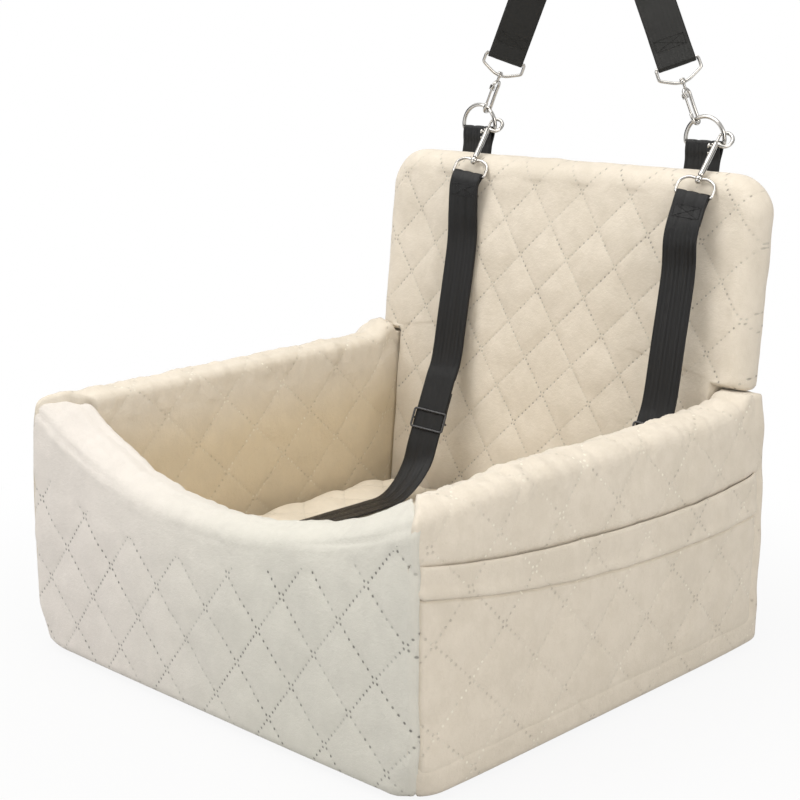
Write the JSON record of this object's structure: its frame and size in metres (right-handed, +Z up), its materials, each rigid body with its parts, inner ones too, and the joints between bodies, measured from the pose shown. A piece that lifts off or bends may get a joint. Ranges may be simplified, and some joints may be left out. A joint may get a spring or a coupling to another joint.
{
  "type": "dog car seat",
  "caption": "Padded booster box for a dog with a tall backrest, quilted velvet walls, loose cushion, side pocket, clip-on tethers and a sling for the car's headrest.",
  "frame": {"origin": "centre of the seat's flat underside", "axes": "+Z up, -Y out of the low front wall, +X towards the wall with the pocket"},
  "size_m": [0.5, 0.5345, 0.6941],
  "materials": {
    "velvet": "soft short-pile velvet",
    "cushion_velvet": "quilted velvet",
    "foam": "open-cell foam and fibre filling",
    "board": "raw fibreboard",
    "lining": "coated non-slip cloth",
    "webbing": "woven polyester webbing",
    "nickel": "bright nickel plate",
    "black_steel": "satin black"
  },
  "bodies": {
    "seat": {"bottom_panel": "lining", "base_board": "board", "base_foam": "foam", "floor_liner": "lining", "front_wall_cover": "velvet", "front_wall_foam": "foam", "left_wall_cover": "velvet", "left_wall_foam": "foam", "right_wall_cover": "velvet", "right_wall_foam": "foam", "side_pocket": "velvet", "backrest_cover": "velvet", "backrest_foam": "foam", "backrest_board": "board", "left_ring_tab": "webbing", "right_ring_tab": "webbing", "left_tether_webbing": "webbing", "right_tether_webbing": "webbing", "left_upper_eye": "nickel", "right_upper_eye": "nickel"},
    "cushion": {"cushion_cover": "cushion_velvet", "cushion_fill": "foam", "left_lower_eye": "nickel", "right_lower_eye": "nickel"},
    "left_ring": {"left_ring": "nickel"},
    "right_ring": {"right_ring": "nickel"},
    "head_sling": {"head_strap": "webbing", "left_head_loop": "nickel", "right_head_loop": "nickel"},
    "head_slider": {"head_slider": "black_steel"},
    "left_hook": {"left_head_hook": "nickel"},
    "right_hook": {"right_head_hook": "nickel"},
    "left_gate": {"left_head_gate": "nickel"},
    "right_gate": {"right_head_gate": "nickel"},
    "left_slider": {"left_tether_slider": "black_steel", "left_tether_tail": "webbing"},
    "right_slider": {"right_tether_slider": "black_steel", "right_tether_tail": "webbing"},
    "left_upper_snap": {"left_upper_snap": "nickel"},
    "left_upper_bolt": {"left_upper_bolt": "nickel"},
    "left_lower_snap": {"left_lower_snap": "nickel"},
    "left_lower_bolt": {"left_lower_bolt": "nickel"},
    "right_upper_snap": {"right_upper_snap": "nickel"},
    "right_upper_bolt": {"right_upper_bolt": "nickel"},
    "right_lower_snap": {"right_lower_snap": "nickel"},
    "right_lower_bolt": {"right_lower_bolt": "nickel"}
  },
  "joints": [
    {"name": "cushion_lift", "type": "slide", "parent": "seat", "child": "cushion", "axis": [0, 0, 1], "range_m": [0, 0.045], "deforming": ["left_tether_webbing", "right_tether_webbing"]},
    {"name": "left_ring_swing", "type": "hinge", "parent": "seat", "child": "left_ring", "pos_m": [-0.1395, 0.272, 0.481], "axis": [1, 0, 0], "range_deg": [0, 18]},
    {"name": "right_ring_swing", "type": "hinge", "parent": "seat", "child": "right_ring", "pos_m": [0.1515, 0.272, 0.481], "axis": [1, 0, 0], "range_deg": [0, 18]},
    {"name": "headstrap_swing", "type": "hinge", "parent": "left_ring", "child": "head_sling", "pos_m": [-0.128, 0.272, 0.50399], "axis": [1, 0, 0], "range_deg": [-35, 35]},
    {"name": "left_hook_swivel", "type": "hinge", "parent": "head_sling", "child": "left_hook", "pos_m": [-0.11156, 0.272, 0.53924], "axis": [0.4226, 0, 0.9063], "range_deg": [-10, 10]},
    {"name": "right_hook_swivel", "type": "hinge", "parent": "head_sling", "child": "right_hook", "pos_m": [0.12356, 0.272, 0.53924], "axis": [-0.4226, 0, 0.9063], "range_deg": [-10, 10]},
    {"name": "left_gate_hinge", "type": "hinge", "parent": "left_hook", "child": "left_gate", "pos_m": [-0.11722, 0.2673, 0.5271], "axis": [0.9063, 0, -0.4226], "range_deg": [0, 17], "stiffness_Nm_per_rad": 0.02, "springref_deg": -5.73},
    {"name": "right_gate_hinge", "type": "hinge", "parent": "right_hook", "child": "right_gate", "pos_m": [0.12922, 0.2673, 0.5271], "axis": [0.9063, 0, 0.4226], "range_deg": [0, 17], "stiffness_Nm_per_rad": 0.02, "springref_deg": -5.73},
    {"name": "head_slider_travel", "type": "slide", "parent": "head_sling", "child": "head_slider", "axis": [1, 0, 0], "range_m": [-0.012, 0.012]},
    {"name": "left_upper_swivel", "type": "hinge", "parent": "seat", "child": "left_upper_snap", "pos_m": [-0.11098, 0.23146, 0.45173], "axis": [-0.2102, 0.715, 0.6668], "range_deg": [-10, 10]},
    {"name": "right_upper_swivel", "type": "hinge", "parent": "seat", "child": "right_upper_snap", "pos_m": [0.17405, 0.23114, 0.45153], "axis": [-0.0995, 0.7277, 0.6786], "range_deg": [-6, 10]},
    {"name": "left_lower_swivel", "type": "hinge", "parent": "cushion", "child": "left_lower_snap", "pos_m": [-0.11098, -0.052, 0.10255], "axis": [0, -1, 0], "range_deg": [0, 15]},
    {"name": "right_lower_swivel", "type": "hinge", "parent": "cushion", "child": "right_lower_snap", "pos_m": [0.17405, -0.062, 0.10138], "axis": [0, -1, 0], "range_deg": [0, 15]},
    {"name": "left_upper_bolt_travel", "type": "slide", "parent": "left_upper_snap", "child": "left_upper_bolt", "axis": [0.2102, -0.715, -0.6668], "range_m": [0, 0.0075], "stiffness_N_per_m": 250, "springref_m": -0.002},
    {"name": "right_upper_bolt_travel", "type": "slide", "parent": "right_upper_snap", "child": "right_upper_bolt", "axis": [0.0995, -0.7277, -0.6786], "range_m": [0, 0.0075], "stiffness_N_per_m": 250, "springref_m": -0.002},
    {"name": "left_lower_bolt_travel", "type": "slide", "parent": "left_lower_snap", "child": "left_lower_bolt", "axis": [0, 1, 0], "range_m": [0, 0.0075], "stiffness_N_per_m": 250, "springref_m": -0.002},
    {"name": "right_lower_bolt_travel", "type": "slide", "parent": "right_lower_snap", "child": "right_lower_bolt", "axis": [0, 1, 0], "range_m": [0, 0.0075], "stiffness_N_per_m": 250, "springref_m": -0.002},
    {"name": "left_slider_travel", "type": "slide", "parent": "seat", "child": "left_slider", "axis": [0, 0.3874, 0.9219], "range_m": [0, 0.03]},
    {"name": "right_slider_travel", "type": "slide", "parent": "seat", "child": "right_slider", "axis": [0, -0.3874, -0.9219], "range_m": [0, 0.02]}
  ],
  "couplings": [
    {"joint": "right_ring_swing", "follows": "left_ring_swing", "ratio": 1}
  ]
}
